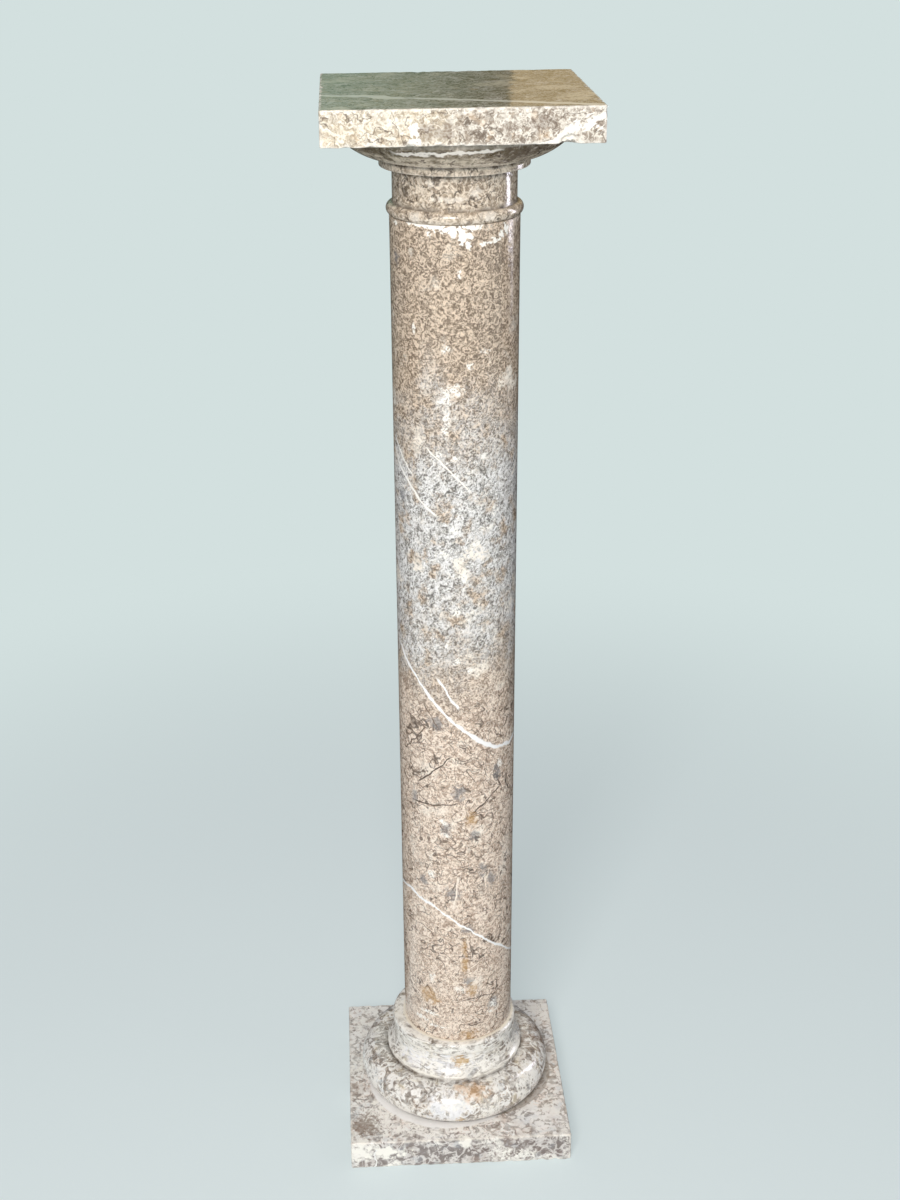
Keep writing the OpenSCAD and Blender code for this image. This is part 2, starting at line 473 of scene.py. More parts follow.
def vein(tree, place, slopes, over, height, width, middle, reach, seed):
    """Mask of a thin flat seam that cuts the stone. Its plane stands at that height over the
    point over on the x axis and climbs by the two slopes to the right and to the back. The seam
    is about width thick, unevenly, and ends at reach from its middle."""
    normal = Vector((-slopes[0], -slopes[1], 1.0)).normalized()
    level = normal.dot(Vector((over, 0.0, height)))
    off = add(tree, "VectorMath", {0: place, 1: normal}, operation="DOT_PRODUCT")
    off = add(tree, "Math", {0: off.outputs["Value"], 1: level}, operation="SUBTRACT")
    off = add(tree, "Math", {0: off}, operation="ABSOLUTE")
    half = add(tree, "MapRange", {"Value": noise(tree, place, 9 * MM, seed),
                                  "From Min": 0.3, "From Max": 0.7,
                                  "To Min": 0.28 * width, "To Max": 0.75 * width})
    share = add(tree, "Math", {0: off, 1: half}, operation="DIVIDE")
    seam = add(tree, "MapRange", {"Value": share, "From Min": 1.25, "From Max": 0.7})
    far = add(tree, "VectorMath", {0: place, 1: middle}, operation="DISTANCE")
    near = add(tree, "MapRange", {"Value": far.outputs["Value"], "From Min": reach,
                                  "From Max": 0.85 * reach})
    return both_masks(tree, seam, near)


def mark(tree, name, strength=1.0):
    """Reads a number that the mesh carries per point, times strength."""
    value = add(tree, "Attribute", attribute_name=name).outputs["Fac"]
    return add(tree, "Math", {0: value, 1: strength}, operation="MULTIPLY")


def rubbed(tree, place, wear, seed):
    """Mask of what has lost its polish: the worn places, times wear, or soft patches three
    millimetres across, whichever is stronger."""
    return add(tree, "Math", {0: mark(tree, "wear", wear),
                              1: clouds(tree, place, 3 * MM, seed, 0.5, 0.9)}, operation="MAXIMUM")


def polish(tree, place, colour, gloss, dull):
    """Joins the colour to a polished surface: the roughness is gloss, and rises to 0.6 where the
    dull mask is 1. Pits a few tenths of a millimetre deep roughen it there."""
    rough = add(tree, "MapRange", {"Value": dull, "To Min": gloss, "To Max": 0.6})
    slow = add(tree, "Math", {0: noise(tree, place, 25 * MM, 3.0), 1: 1.5}, operation="MULTIPLY")
    fine = add(tree, "Math", {0: noise(tree, place, 1.5 * MM, 4.0), 1: dull,
                              2: slow}, operation="MULTIPLY_ADD")
    bump = add(tree, "Bump", {"Height": fine, "Strength": 1.0, "Distance": 0.25 * MM})
    skin = add(tree, "BsdfPrincipled", {"Base Color": colour, "Roughness": rough, "IOR": 1.5,
                                        "Normal": bump})
    add(tree, "OutputMaterial", {"Surface": skin})


plinth_low, plinth_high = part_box("plinth")
plinth_rings, plinth_wear = worn_slab(
    plinth_low, plinth_high, ease=1.4 * MM, corner=2.0 * MM, reach=1.8 * MM,
    waves=(9 * MM, 14 * MM), deepest=0.7 * MM,
    chips=stray_nicks(plinth_low, plinth_high, 34, 13), seed=11)
plinth = surface("plinth_slab", plinth_rings, {"wear": plinth_wear}, "root", "plinth")
# It gives the eye coarse pale and dark flecks that melt into mauve grey a few steps away, a top
# painted paler as if lit from above and whiter still at its right, a painted shadow of the torus, and
# a cream patch at the front left corner.
stone, tree, place = blank_material("polished grey-mauve breccia marble")
ragged = warped(tree, place, 12 * MM, 7 * MM, 15.0)
gentle = warped(tree, place, 4 * MM, 12 * MM, 21.0)
front = plinth_low.y
top_face = ramp(tree, place, "Z", plinth_high.z - 0.6 * MM, plinth_high.z - 0.1 * MM)
painted_light_at_right = both_masks(tree, top_face, ramp(tree, ragged, "X", 0.02, 0.08))
# painted light: the top face takes much paler tones than the sides, as if lit from above, and whiter
# still towards its right; its dark tone is darker
tones = (lay(tree, "#98918e", [(top_face, "#f1ede9"), (painted_light_at_right, "#ffffff")]),
         lay(tree, "#948882", [(top_face, "#efe3da"), (painted_light_at_right, "#fff4ea")]),
         lay(tree, "#867d79", [(top_face, "#70655e"), (painted_light_at_right, "#85786c")]),
         lay(tree, "#e4e0dc", [(top_face, "#fffefa")]))
ground = breccia(tree, place, tones, (2.4 * MM, 6.8 * MM, 0.62, 1.0, 0.4), 10.0)
# The torus covers the middle of three discs: of the first a pale rubbed crescent shows in front of
# it, of the second a brown crescent of painted shadow at its right, of the third a thin ring of
# painted shade where it meets the slab.
pale_crescent = disc(tree, gentle, (-8.6 * MM, -12.3 * MM, 0.0), 82 * MM, 2 * MM, 0.95)
# painted shadow: the torus's shadow on the slab, a brown crescent at its right
painted_torus_shadow = disc(tree, gentle, (23.9 * MM, -2.1 * MM, 0.0), 77.5 * MM, 1.5 * MM, 0.5)
# painted shade: a thin dark ring on the slab where the torus stands on it
painted_contact_shade = disc(tree, gentle, (0.0, 0.0, 0.0), 85.2 * MM, 1.5 * MM, 0.8)
colour = lay(tree, ground, [
    (clouds(tree, ragged, 20 * MM, 14.0, 0.52, 0.66, strength=0.25), "#b8a293"),
    (clouds(tree, ragged, 16 * MM, 20.0, 0.52, 0.66, strength=0.25), "#b6c2cc"),
    (scribble(tree, ragged, 30 * MM, 7 * MM, 0.5, 13.0), "#fffdf6"),
    (stains(tree, place, ragged, [((-0.098, -0.087, 0.032), 30 * MM, 24 * MM)],
            4 * MM, 18.0, 0.75, 0.6), "#8a7566"),
    (stains(tree, place, ragged, [((-0.103, front, 0.022), 34 * MM, 20 * MM),
                                  ((-0.078, front, 0.019), 46 * MM, 12 * MM),
                                  ((-0.110, -0.100, 0.032), 12 * MM, 12 * MM),
                                  ((0.004, front, 0.028), 12 * MM, 12 * MM)],
            7 * MM, 16.0, 1.0, 0.5), "#fffdf5"),
    (vein(tree, ragged, (14.0, 0.0), -0.088, 0.010, 1.6 * MM, (-0.088, front, 0.012), 12 * MM, 17.0),
     "#f7f7f4"),
    (mark(tree, "wear", 0.75), "#f4efe4"),
    (both_masks(tree, top_face, pale_crescent), "#ffffff"),
    (both_masks(tree, top_face, painted_torus_shadow), "#7d6c58"),
    (painted_contact_shade, "#5f5449"),
])
polish(tree, place, colour, 0.14, rubbed(tree, place, 0.8, 19.0))
plinth.data.materials.append(stone)

# ---------------------------------------------------------------------------------------------
# Base: one turned stone of torus, fillet, hollow scotia and the ring that the shaft stands on,
# polished on the lathe; it rests on the plinth.


def arc(middle_r, middle_z, radius, start, end, steps):
    """Points of a circular arc in the outline, from the start angle to the end one, in degrees,
    counted from straight outward and upward; the third number says they need no easing."""
    turn = np.radians(np.linspace(start, end, steps))
    return [(middle_r + radius * math.cos(t), middle_z + radius * math.sin(t), 0.0) for t in turn]


def eased(stops, longest=4 * MM):
    """Outline through the stops (radius, height, ease). A stop with an ease is cut back by that
    length along both sides and replaced by a quadratic curve that has the stop as its control
    point. Then every straight stretch is divided into steps no longer than longest."""
    stops = np.array(stops)
    spots = stops[:, :2]
    outline = [spots[:1]]
    share = np.linspace(0, 1, 6)[:, None]
    for before, stop, after, ease in zip(spots[:-2], spots[1:-1], spots[2:], stops[1:-1, 2]):
        if ease == 0:
            outline.append(stop[None])
            continue
        start = stop + (before - stop) / np.linalg.norm(before - stop) * ease
        end = stop + (after - stop) / np.linalg.norm(after - stop) * ease
        outline.append((1 - share) ** 2 * start + 2 * share * (1 - share) * stop + share**2 * end)
    outline = np.vstack(outline + [spots[-1:]])
    travel = np.append(0, np.cumsum(np.linalg.norm(np.diff(outline, axis=0), axis=1)))
    extra = [np.linspace(a, b, math.ceil((b - a) / longest) + 1)[:-1]
             for a, b in zip(travel[:-1], travel[1:]) if b - a > 1e-6]
    fine = np.append(np.concatenate(extra), travel[-1])
    return np.column_stack([np.interp(fine, travel, outline[:, i]) for i in (0, 1)])


def turned_points(middle, outline, columns):
    """Points of a lathe surface: the outline's radius and height carried round the axis."""
    turn = np.linspace(0, 2 * np.pi, columns, endpoint=False)
    radius, height = outline[:, :1], outline[:, 1:]
    return np.dstack([middle + radius * np.cos(turn), radius * np.sin(turn),
                      np.broadcast_to(height, (len(outline), columns))])


def turned_marks(outline, points):
    """Wear on the outward corners of a turned piece, and grime with painted shade in the inward ones:
    how much more sharply the outline turns there than along a moulding's own curve, gathered over
    about a millimetre, and uneven round the piece."""
    own_curve = 0.12
    step = np.diff(outline, axis=0)
    heading = np.unwrap(np.arctan2(step[:, 1], step[:, 0]))
    bend = np.append(0, np.append(np.diff(heading), 0))
    travel = np.append(0, np.cumsum(np.linalg.norm(step, axis=1)))
    reach = np.exp(-((travel[:, None] - travel) / (1.3 * MM)) ** 2)
    raised = reach @ np.clip(bend - own_curve, 0, None)
    sunken = reach @ np.clip(-bend - own_curve, 0, None)
    uneven = 0.8 + 0.4 * ripple(points, 12 * MM, 7)
    return {"wear": np.clip(raised, 0, 1)[:, None] * uneven,
            "dirt_and_crease_shade": np.clip(sunken, 0, 1)[:, None] * uneven}


base_low, base_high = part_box("base")
torus_radius = (base_high.x - base_low.x) / 2
torus_round = 19.5 * MM
fillet_radius = 70.5 * MM
fillet_height = 4.5 * MM
scotia_radius = 60.5 * MM
scotia_round = 22 * MM
scotia_height = 23.5 * MM
ring_radius = 64 * MM
fillet_z = base_low.z + 2 * torus_round
scotia_z = fillet_z + fillet_height
ring_z = scotia_z + scotia_height
hollow_r = scotia_radius + scotia_round
hollow_z = scotia_z + math.sqrt(scotia_round**2 - (hollow_r - fillet_radius) ** 2)
hollow_start = -180 + math.degrees(math.asin((hollow_z - scotia_z) / scotia_round))
hollow_end = -180 - math.degrees(math.asin((ring_z - hollow_z) / scotia_round))
base_outline = eased(
    [(0, base_low.z, 0)]
    + arc(torus_radius - torus_round, base_low.z + torus_round, torus_round, -90, 90, 36)
    + [(fillet_radius, fillet_z, 0.8 * MM)]
    + arc(hollow_r, hollow_z, scotia_round, hollow_start, hollow_end, 22)
    + [(ring_radius, ring_z, 0.8 * MM), (ring_radius, base_high.z - 1.6 * MM, 1.2 * MM),
       (ring_radius - 2 * MM, base_high.z, 1.0 * MM), (0, base_high.z, 0)])
base_rings = turned_points(0.0, base_outline, 384)
base = surface("base_turning", base_rings, turned_marks(base_outline, base_rings), "root", "base")
shaft_low, shaft_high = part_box("shaft")
shaft_middle = (shaft_low.x + shaft_high.x) / 2
# It gives the eye pale grey and cream flecks, drawn out into streaks round the hollow, a white bloom
# and rusty stains at the front, a line of painted highlight on the ledge round the foot of the shaft,
# and painted shade at the foot of the torus, on its right side and, with some grime, in the inward
# corners.
stone, tree, place = blank_material("polished grey and cream breccia marble")
ragged = warped(tree, place, 12 * MM, 7 * MM, 25.0)
gentle = warped(tree, place, 3 * MM, 10 * MM, 24.0)
flattened = add(tree, "Mapping", {"Vector": gentle, "Scale": (5.0, 5.0, 1.0)},
                vector_type="TEXTURE")
# painted shade: the lowest few millimetres of the torus, where it meets the plinth, darkened
foot_shade = ramp(tree, place, "Z", base_low.z + 6 * MM, base_low.z + 2 * MM, 0.8)
hollow = ramp(tree, place, "Z", fillet_z - 1 * MM, fillet_z + 3 * MM)
beside_shaft = add(tree, "VectorMath", {0: gentle, 1: (shaft_middle, 0.0, base_high.z)},
                   operation="DISTANCE").outputs["Value"]
# painted highlight: a pale cream band on the ring's top ledge, close round the foot of the shaft
ledge_highlight = add(tree, "MapRange", {"Value": beside_shaft, "From Min": 58.5 * MM,
                                "From Max": 57.2 * MM, "To Max": 0.9})
ground = breccia(tree, place, ("#dcd6ce", "#d8ccbf", "#5f544c", "#fffefa"),
                 (2.2 * MM, 6.2 * MM, 0.62, 1.0, 0.4), 20.0)
colour = lay(tree, ground, [
    (clouds(tree, ragged, 20 * MM, 30.0, 0.54, 0.68, strength=0.2), "#b6997f"),
    (clouds(tree, ragged, 14 * MM, 31.0, 0.54, 0.68, strength=0.4), "#b9c6cf"),
    (clouds(tree, ragged, 14 * MM, 32.0, 0.54, 0.68, strength=0.4), "#f3e9cb"),
    (scribble(tree, ragged, 28 * MM, 7 * MM, 0.48, 23.0), "#fffdf6"),
    (stains(tree, place, ragged, [((-0.010, -0.061, 0.088), 62 * MM, 20 * MM),
                                  ((-0.045, -0.045, 0.086), 34 * MM, 16 * MM),
                                  ((-0.014, -0.098, 0.052), 38 * MM, 28 * MM)],
            6 * MM, 26.0, 0.75, 0.7), "#fbfcff"),
    (both_masks(tree, hollow, threads(tree, flattened, 4 * MM, 0.08, 33.0, 0.7),
                clouds(tree, ragged, 12 * MM, 34.0, 0.40, 0.56)), "#665a4c"),
    (both_masks(tree, hollow, threads(tree, flattened, 6 * MM, 0.09, 35.0, 0.9)), "#fffdf6"),
    (stains(tree, place, ragged, [((0.002, -0.062, 0.090), 14 * MM, 11 * MM),
                                  ((0.0, -0.097, 0.042), 8 * MM, 8 * MM)],
            4 * MM, 27.0, 0.7, 0.6), "#c39a50"),
    (stains(tree, place, ragged, [((0.016, -0.087, 0.068), 24 * MM, 11 * MM),
                                  ((0.002, -0.080, 0.071), 12 * MM, 6 * MM)],
            6 * MM, 21.0, 0.4, 0.9), "#e0ab68"),
    # painted shade: a soft brown patch darkening the right side of the torus, away from the light
    (stains(tree, place, ragged, [((0.085, 0.01, 0.056), 60 * MM, 40 * MM)],
            6 * MM, 22.0, 0.45), "#8d7460"),
    (ledge_highlight, "#fbf5e6"),
    (mark(tree, "wear", 0.6), "#f8f3e6"),
    # grime with painted shade, dark in the inward corners of the base
    (mark(tree, "dirt_and_crease_shade", 0.95), "#51463b"),
    (foot_shade, "#5d5147"),
])
polish(tree, place, colour, 0.15, rubbed(tree, place, 0.6, 29.0))
base.data.materials.append(stone)

# ---------------------------------------------------------------------------------------------
# Shaft: one plain polished cylinder of breccia marble, beige above and below and cool grey with
# white bits about its middle, crossed by white calcite seams and fine dark cracks.


def around(azimuth, radius, height):
    """The point on a turned stone at that azimuth, in degrees to the right of its front."""
    turn = math.radians(azimuth)
    return (shaft_middle + radius * math.sin(turn), -radius * math.cos(turn), height)


shaft_top_radius = (shaft_high.x - shaft_low.x) / 2
shaft_foot_radius = 55.5 * MM
shaft_outline = eased(
    [(0, shaft_low.z, 0), (shaft_foot_radius - 0.6 * MM, shaft_low.z, 0.8 * MM),
     (shaft_foot_radius, shaft_low.z + 1.0 * MM, 0.8 * MM),
     (shaft_top_radius, shaft_high.z, 0.4 * MM), (0, shaft_high.z, 0)], longest=8 * MM)
shaft_rings = turned_points(shaft_middle, shaft_outline, 320)
shaft = surface("shaft_drum", shaft_rings, turned_marks(shaft_outline, shaft_rings), "root",
                "shaft")


def shaft_spots(*spots):
    """Spots on the shaft, from (azimuth in degrees, height, width, tallness) in millimetres."""
    return [(around(azimuth, 56 * MM, height * MM), wide * MM, tall * MM)
            for azimuth, height, wide, tall in spots]


def height_zone(tree, place, low, high, soft):
    """Mask of a stretch of height: 1 from low to high, fading to 0 over soft beyond either."""
    return both_masks(tree, ramp(tree, place, "Z", low - soft, low, smooth=True),
                      ramp(tree, place, "Z", high + soft, high, smooth=True))


# It gives the eye a fine brown-beige grain, rosier below and cool grey about the middle, under
# bold white seams, dark cracks, white bits and a few grey and rusty stains.
stone, tree, place = blank_material("polished brown-beige breccia marble")
# the bands of tone lie tilted, by half a radian, and wander
sloping = add(tree, "Mapping", {"Vector": place, "Location": (0.0, 0.0, 0.106),
                                "Rotation": (0.5, 0.0, 0.0)})
drift = warped(tree, sloping, 150 * MM, 60 * MM, 31.0)
ragged = warped(tree, place, 11 * MM, 6 * MM, 35.0)
wander = warped(tree, place, 26 * MM, 22 * MM, 36.0)
gentle = warped(tree, place, 6 * MM, 13 * MM, 52.0)
jagged = warped(tree, gentle, 3 * MM, 5 * MM, 57.0)
broken = clouds(tree, ragged, 1.8 * MM, 58.0, 0.40, 0.52)
leaning = add(tree, "Mapping", {"Vector": ragged, "Rotation": (0.0, 0.64, 0.0),
                                "Scale": (1.0, 1.0, 2.4)}, vector_type="TEXTURE")
cool = both_masks(tree, height_zone(tree, drift, 0.625, 0.700, 0.105),
                  clouds(tree, ragged, 16 * MM, 32.0, 0.32, 0.53))
rosy = height_zone(tree, drift, 0.10, 0.50, 0.08)
tones = [lay(tree, plain, [(rosy, rosy_tone), (cool, cool_tone)]) for plain, rosy_tone, cool_tone in (
    ("#998978", "#d8c0ac", "#93908b"), ("#a3917d", "#e0c9b6", "#9e9a95"),
    ("#4b3d33", "#675445", "#444341"), ("#efddc8", "#fff4e6", "#f6f5f2"))]
ground = breccia(tree, place, tones, (1.3 * MM, 2.7 * MM, 0.42, 0.75, 0.30), 30.0)
white_spots = shaft_spots(
    (-68, 944, 6, 5), (-27, 939, 6, 4), (0, 906, 3, 8), (-42, 858, 3, 9),
    (-12, 843, 6, 7), (9, 826, 5, 6), (24, 838, 7, 5), (-6, 804, 15, 12), (-14, 795, 9, 11),
    (-11, 780, 6, 11), (-13, 768, 6, 10), (-18, 746, 7, 6), (-3, 744, 7, 6), (22, 744, 6, 6),
    (34, 690, 5, 16), (26, 675, 12, 6), (14, 662, 10, 7), (-5, 676, 11, 7), (-16, 651, 10, 7),
    (4, 630, 8, 10), (-2, 596, 7, 10), (-14, 560, 5, 7), (-4, 545, 5, 7), (8, 536, 5, 6),
    (-16, 372, 8, 6), (-15, 357, 7, 5), (44, 428, 6, 9), (-30, 309, 8, 6), (-31, 186, 6, 12),
    (-2, 175, 10, 7), (-36, 140, 22, 4), (-44, 130, 16, 4), (-28, 126, 20, 3), (38, 146, 12, 14))
collar_spots = shaft_spots(
    (-42, 948, 14, 4), (-35, 947, 14, 4), (-29, 947, 14, 4), (-20, 946, 16, 6), (-12, 944, 14, 8),
    (-3, 943, 18, 9), (5, 938, 10, 12), (8, 931, 6, 7), (14, 945, 14, 6), (20, 930, 7, 3),
    (27, 932, 10, 3), (34, 933, 10, 4), (41, 936, 8, 6), (46, 940, 5, 10))
grey_spots = shaft_spots(
    (-2, 404, 11, 15), (-15, 364, 9, 11), (14, 356, 8, 9), (7, 246, 10, 9), (-40, 299, 8, 10),
    (23, 314, 9, 14), (34, 300, 9, 16), (-66, 915, 9, 12), (8, 184, 9, 9), (-62, 700, 8, 12),
    (-24, 478, 16, 12), (40, 420, 9, 14), (-9, 290, 14, 12), (38, 150, 12, 12), (-52, 392, 8, 16))
rust_spots = shaft_spots(
    (-37, 163, 15, 17), (-29, 158, 12, 9), (10, 375, 10, 14), (4, 206, 6, 18), (11, 173, 8, 14),
    (9, 118, 14, 10), (3, 225, 5, 16))
seams = [
    # slope to the right and to the back, height over the axis, width, azimuth and height of its
    # middle, reach (millimetres and degrees), place, colour
    (-0.95, 0.56, 505.7, 2.8, 0, 480, 105, gentle, "#ffffff"),
    (-1.6, 0.2, 503.0, 2.2, -20, 505, 22, gentle, "#ffffff"),
    (-0.79, -0.41, 230.8, 2.2, 0, 240, 100, jagged, "#ffffff"),
    (9.0, 0.0, 336.0, 2.0, -8, 290, 20, jagged, "#f7ecdf"),
    (-1.06, -0.09, 716.4, 1.6, -10, 731, 30, gentle, "#fdf8f0"),
    (-0.39, 1.02, 732.5, 2.2, -52, 713, 42, gentle, "#fbf9f4"),
    (-0.39, 1.02, 746.0, 1.8, -62, 736, 22, gentle, "#fbf9f4"),
    (0.0, 0.98, 744.5, 2.0, 70, 726, 14, gentle, "#fbf3e8"),
    (1.09, 0.0, 453.6, 1.2, -28, 427, 26, jagged, "#55463b"),
    (0.13, 0.0, 392.8, 1.2, -27, 390, 24, jagged, "#55463b"),
    (-0.59, 0.0, 452.6, 1.0, -46, 476, 14, jagged, "#7d6c5f"),
    (-1.65, 0.0, 439.3, 1.0, -29, 484, 15, jagged, "#7d6c5f"),
    (1.72, 0.0, 528.6, 1.0, -52, 455, 24, jagged, "#6b5b4f"),
    (0.8, 0.0, 372.0, 1.1, 25, 392, 22, jagged, "#5d4e43"),
]
colour = lay(tree, ground, [
    (both_masks(tree, cool, clouds(tree, leaning, 2.2 * MM, 33.0, 0.57, 0.64, strength=0.65)),
     "#ffffff"),
    (both_masks(tree, cool, threads(tree, leaning, 4 * MM, 0.055, 38.0, 0.5)), "#5a5856"),
    (both_masks(tree, cool, threads(tree, leaning, 5.5 * MM, 0.070, 40.0, 0.85)), "#ffffff"),
    (both_masks(tree, scribble(tree, ragged, 22 * MM, 5 * MM, 0.57, 49.0),
                clouds(tree, place, 60 * MM, 34.0, 0.35, 0.6)), "#fff8ec"),
    (both_masks(tree, hairlines(tree, wander, 26 * MM, 0.65 * MM, 51.0),
                height_zone(tree, place, 0.06, 0.50, 0.03)), "#55463b"),
    (both_masks(tree, hairlines(tree, wander, 17 * MM, 0.6 * MM, 53.0),
                height_zone(tree, place, 0.30, 0.49, 0.03)), "#7a6a5d"),
    (stains(tree, place, ragged, grey_spots, 5 * MM, 41.0, 0.65, 0.8), "#74757a"),
    (both_masks(tree, broken, stains(tree, gentle, ragged, white_spots, 5 * MM, 37.0, 0.95, 0.5)),
     "#fffdf7"),
    (stains(tree, gentle, ragged, collar_spots, 4 * MM, 50.0), "#fffdf7"),
] + [
    (vein(tree, way, (right, back), shaft_middle, height * MM, wide * MM,
          around(azimuth, 56 * MM, middle * MM), reach * MM, 42.0 + number), tone)
    for number, (right, back, height, wide, azimuth, middle, reach, way, tone) in enumerate(seams)
] + [
    (stains(tree, gentle, ragged, rust_spots, 5 * MM, 48.0, 0.65, 1.0), "#b78c4a"),
])
polish(tree, place, colour, 0.12, rubbed(tree, place, 0.6, 39.0))
shaft.data.materials.append(stone)

# ---------------------------------------------------------------------------------------------
# Capital: one turned stone of astragal, neck, fillet and echinus, of beige breccia marble
# polished on the lathe. It stands on the shaft by its own weight.
capital_low, capital_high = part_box("capital")
echinus_radius = (capital_high.y - capital_low.y) / 2
astragal_round = 5.4 * MM
astragal_radius = 59.2 * MM
neck_radius = 53.7 * MM
neck_height = 30.8 * MM
upper_fillet_radius = 64.6 * MM
upper_fillet_height = 6.8 * MM
echinus_height = 21.6 * MM
echinus_round = 60 * MM
neck_z = capital_low.z + 2 * astragal_round
upper_fillet_z = neck_z + neck_height
echinus_z = upper_fillet_z + upper_fillet_height
band_z = echinus_z + echinus_height
chord = Vector((echinus_radius - upper_fillet_radius, echinus_height))
rise = math.sqrt(echinus_round**2 - chord.length_squared / 4)
bowl = Vector((upper_fillet_radius, echinus_z)) + chord / 2 + chord.orthogonal().normalized() * rise
bowl_start = math.degrees(math.atan2(echinus_z - bowl.y, upper_fillet_radius - bowl.x))
bowl_end = math.degrees(math.atan2(band_z - bowl.y, echinus_radius - bowl.x))
capital_outline = eased(
    [(0, capital_low.z, 0)]
    + arc(astragal_radius - astragal_round, capital_low.z + astragal_round, astragal_round,
          -90, 90, 18)
    + [(neck_radius, neck_z, 0.3 * MM), (neck_radius, upper_fillet_z, 0.8 * MM),
       (upper_fillet_radius, upper_fillet_z, 0.8 * MM)]
    + arc(bowl.x, bowl.y, echinus_round, bowl_start, bowl_end, 28)
    + [(echinus_radius, capital_high.z, 0.4 * MM), (0, capital_high.z, 0)])
capital_rings = turned_points(shaft_middle, capital_outline, 384)
capital = surface("capital_turning", capital_rings, turned_marks(capital_outline, capital_rings),
                  "root", "capital")
# It gives the eye the shaft's beige at a slightly larger scale, darker and greener at the top of the
# echinus, where painted shade of the abacus and a painted olive reflection lie, paler where the bowl
# starts, with one white seam across it and spots on the neck.
stone, tree, place = blank_material("polished warm beige breccia marble")
ragged = warped(tree, place, 11 * MM, 7 * MM, 55.0)
# painted shade and painted reflection: dark olive clouds on the upper echinus, under the abacus
bowl_painted_shade = height_zone(tree, place, echinus_z + 7.6 * MM, band_z + 1 * MM, 3 * MM)
bowl_light = height_zone(tree, place, echinus_z - 2.4 * MM, echinus_z + 10.6 * MM, 3 * MM)
ground = breccia(tree, place, ("#beae9a", "#b5a490", "#5a4b3e", "#f8eddd"),
                 (1.5 * MM, 3.4 * MM, 0.40, 0.60, 0.30), 50.0)
colour = lay(tree, ground, [
    (both_masks(tree, bowl_painted_shade, clouds(tree, ragged, 12 * MM, 63.0, 0.66, 0.46, strength=0.75)),
     "#5a4f35"),
    (both_masks(tree, bowl_light, clouds(tree, ragged, 9 * MM, 64.0, 0.36, 0.56, strength=0.7)),
     "#f0e2cc"),
    (scribble(tree, ragged, 20 * MM, 5 * MM, 0.64, 57.0), "#fff6e8"),
    (hairlines(tree, ragged, 16 * MM, 0.7 * MM, 58.0), "#4b3f36"),
    (stains(tree, place, ragged, [(around(30, 92 * MM, 1.009), 40 * MM, 18 * MM)],
            5 * MM, 54.0, 0.6, 0.6), "#6f6154"),
    (vein(tree, ragged, (0.04, 0.0), shaft_middle, 1.0130, 2.8 * MM, around(-8, 96 * MM, 1.012),
          48 * MM, 56.0), "#fbf4ea"),
    (vein(tree, ragged, (-0.5, 0.3), shaft_middle, 0.985, 2.0 * MM, around(-35, 90 * MM, 1.004),
          26 * MM, 60.0), "#efe6da"),
    (stains(tree, place, ragged, [(around(-26, neck_radius, 0.981), 7 * MM, 7 * MM),
                                  (around(15, neck_radius, 0.973), 9 * MM, 9 * MM),
                                  (around(-38, 59 * MM, 0.953), 9 * MM, 11 * MM),
                                  (around(26, 58 * MM, 0.955), 12 * MM, 9 * MM),
                                  (around(-8, neck_radius, 0.968), 24 * MM, 4 * MM)],
            4 * MM, 61.0, 0.5, 0.6), "#fff9f0"),
    (stains(tree, place, ragged, [(around(-54, neck_radius, 0.973), 8 * MM, 8 * MM),
                                  (around(-20, neck_radius, 0.984), 9 * MM, 7 * MM)],
            3 * MM, 62.0, 0.7), "#463a31"),
    (mark(tree, "wear", 0.5), "#efe5d6"),
    # grime with painted shade, dark in the inward corners of the capital
    (mark(tree, "dirt_and_crease_shade", 0.8), "#54483c"),
])
polish(tree, place, colour, 0.10, rubbed(tree, place, 0.4, 59.0))
capital.data.materials.append(stone)

# ---------------------------------------------------------------------------------------------
# Abacus: the square top slab of cream marble, polished on top and honed at its edges, which are
# nicked where a white seam runs out at the front right. It lies on the capital.
abacus_low, abacus_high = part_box("abacus")
front = abacus_low.y
abacus_rings, abacus_wear = worn_slab(
    abacus_low, abacus_high, ease=1.0 * MM, corner=1.5 * MM, reach=1.6 * MM,
    waves=(7 * MM, 9 * MM), deepest=0.6 * MM, chips=[
        (0.087, front, abacus_low.z, 8 * MM, 6 * MM),
        (-0.038, front, abacus_low.z, 4 * MM, 2 * MM),
        (0.052, front, abacus_high.z, 3 * MM, 1.5 * MM),
        (-0.070, front, abacus_low.z, 3 * MM, 1.2 * MM),
        (abacus_high.x, front, abacus_high.z - 4 * MM, 4 * MM, 2 * MM),
    ] + stray_nicks(abacus_low, abacus_high, 40, 63), seed=61)
abacus = surface("abacus_slab", abacus_rings, {"wear": abacus_wear}, "root", "abacus")
# It gives the eye a cream edge, greyer to the right, with curling flecks and white streaks, and a
# smooth top that mirrors the room, with a painted olive reflection in dark clouds over it, crossed by
# a white seam that runs down the front right.
stone, tree, place = blank_material("cream breccia marble, honed edges")
ragged = warped(tree, place, 11 * MM, 7 * MM, 65.0)
gentle = warped(tree, place, 7 * MM, 16 * MM, 73.0)
wavy = warped(tree, place, 40 * MM, 30 * MM, 80.0)
streaky = add(tree, "Mapping", {"Vector": gentle, "Rotation": (0.0, -0.47, 0.0),
                                "Scale": (4.0, 1.0, 1.0)}, vector_type="TEXTURE")
top_face = ramp(tree, place, "Z", abacus_high.z - 1.5 * MM, abacus_high.z - 0.3 * MM)
greyer = ramp(tree, warped(tree, place, 50 * MM, 40 * MM, 66.0), "X", -0.045, 0.015, smooth=True)
tones = (lay(tree, "#e0d6c2", [(greyer, "#b4a89b")]), lay(tree, "#e4d6bb", [(greyer, "#bbae9f")]),
         lay(tree, "#7f6a53", [(greyer, "#6a5c50")]), "#fffcf2")
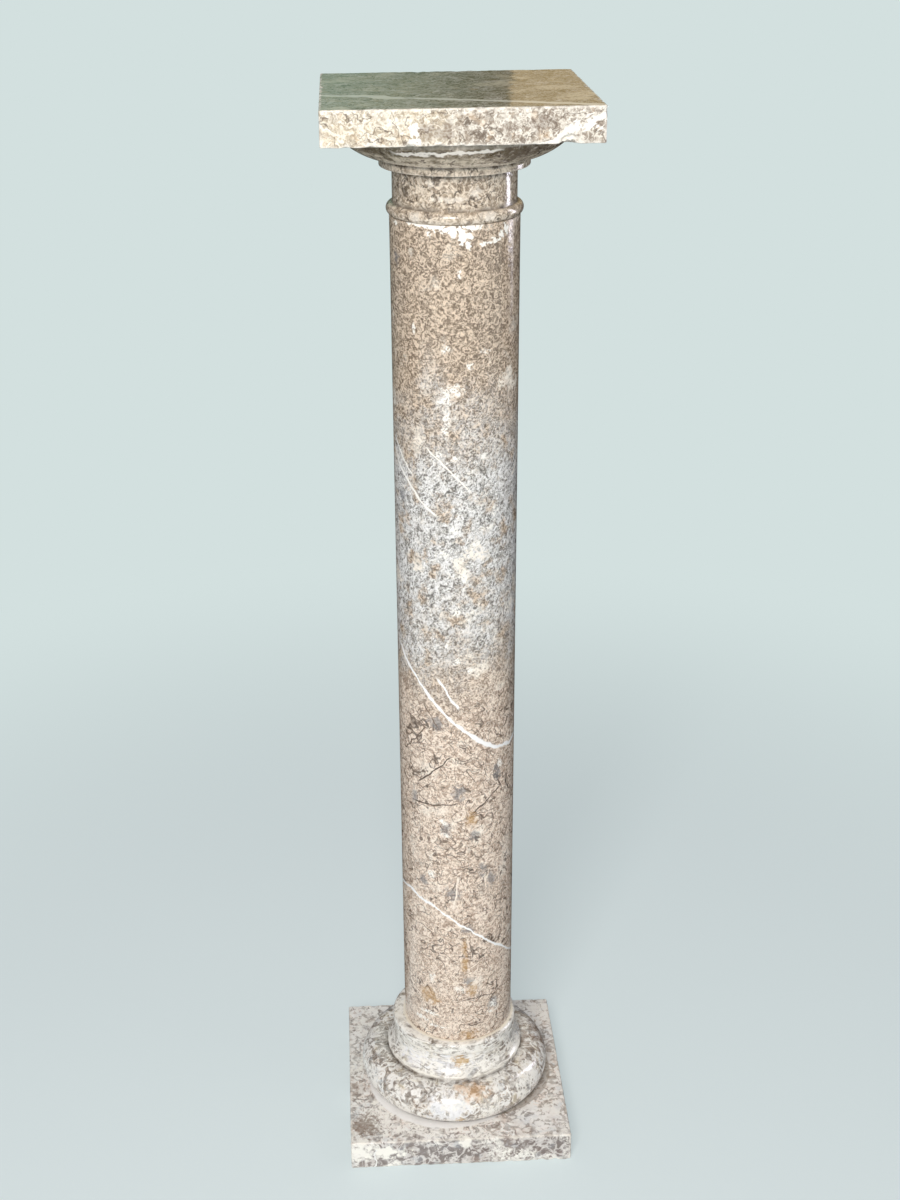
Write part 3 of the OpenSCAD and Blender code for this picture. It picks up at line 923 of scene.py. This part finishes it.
ground = breccia(tree, place, tones, (1.6 * MM, 3.8 * MM, 0.38, 0.60, 0.35), 60.0)
streaks = both_masks(
    tree, stains(tree, place, streaky, [((0.108, front, 1.037), 32 * MM, 12 * MM),
                                        ((0.086, front, 1.027), 14 * MM, 8 * MM)], 2.5 * MM, 78.0),
    clouds(tree, streaky, 2.2 * MM, 79.0, 0.49, 0.60))
# the plane of the long seam, as vein takes it: slopes, point and height
seam = ((0.51, 1.39), 0.0, 1.1417)
colour = lay(tree, ground, [
    (clouds(tree, ragged, 14 * MM, 63.0, 0.56, 0.72, strength=0.4), "#dcb88c"),
    (both_masks(tree, clouds(tree, ragged, 16 * MM, 64.0, 0.54, 0.66),
                threads(tree, ragged, 4 * MM, 0.08, 67.0, 0.5)), "#776a60"),
    (hairlines(tree, ragged, 22 * MM, 0.7 * MM, 69.0), "#6d5f52"),
    (threads(tree, ragged, 30 * MM, 0.014, 70.0, 0.85), "#fffaf0"),
    (stains(tree, place, ragged, [((-0.024, front, 1.034), 16 * MM, 18 * MM),
                                  ((-0.010, front, 1.032), 20 * MM, 14 * MM),
                                  ((0.066, front, 1.036), 16 * MM, 14 * MM)],
            6 * MM, 71.0, 0.5, 0.7), "#85766b"),
    (stains(tree, place, ragged, [((-0.035, front, 1.034), 8 * MM, 11 * MM),
                                  ((-0.034, front, 1.025), 10 * MM, 5 * MM)],
            3 * MM, 72.0), "#fffdf8"),
    (streaks, "#fffdf8"),
    # painted reflection: dark olive clouds on the top face
    (both_masks(tree, top_face, clouds(tree, ragged, 12 * MM, 75.0, 0.70, 0.40, strength=0.35)),
     "#635c3e"),
    (both_masks(tree, top_face, scribble(tree, ragged, 34 * MM, 8 * MM, 0.53, 76.0)), "#efe6d0"),
    (both_masks(tree, top_face, vein(tree, gentle, *seam, 7.5 * MM, (0.04, -0.080, 1.05), 85 * MM,
                                     77.0)), "#fffbe8"),
    (both_masks(tree, top_face, vein(tree, wavy, *seam, 9.0 * MM, (-0.074, -0.038, 1.05), 42 * MM,
                                     81.0)), "#fffbe8"),
    (both_masks(tree, vein(tree, gentle, *seam, 3.0 * MM, (0.02, -0.08, 1.05), 150 * MM, 68.0),
                clouds(tree, ragged, 3 * MM, 74.0, 0.34, 0.48)), "#fffdf4"),
    (mark(tree, "wear", 0.7), "#fffaf0"),
])
honed = add(tree, "Math", {0: -0.45, 1: top_face, 2: 0.45}, operation="MULTIPLY_ADD")
dull = add(tree, "Math", {0: mark(tree, "wear", 0.7), 1: honed}, operation="MAXIMUM")
polish(tree, place, colour, 0.10, dull)
abacus.data.materials.append(stone)
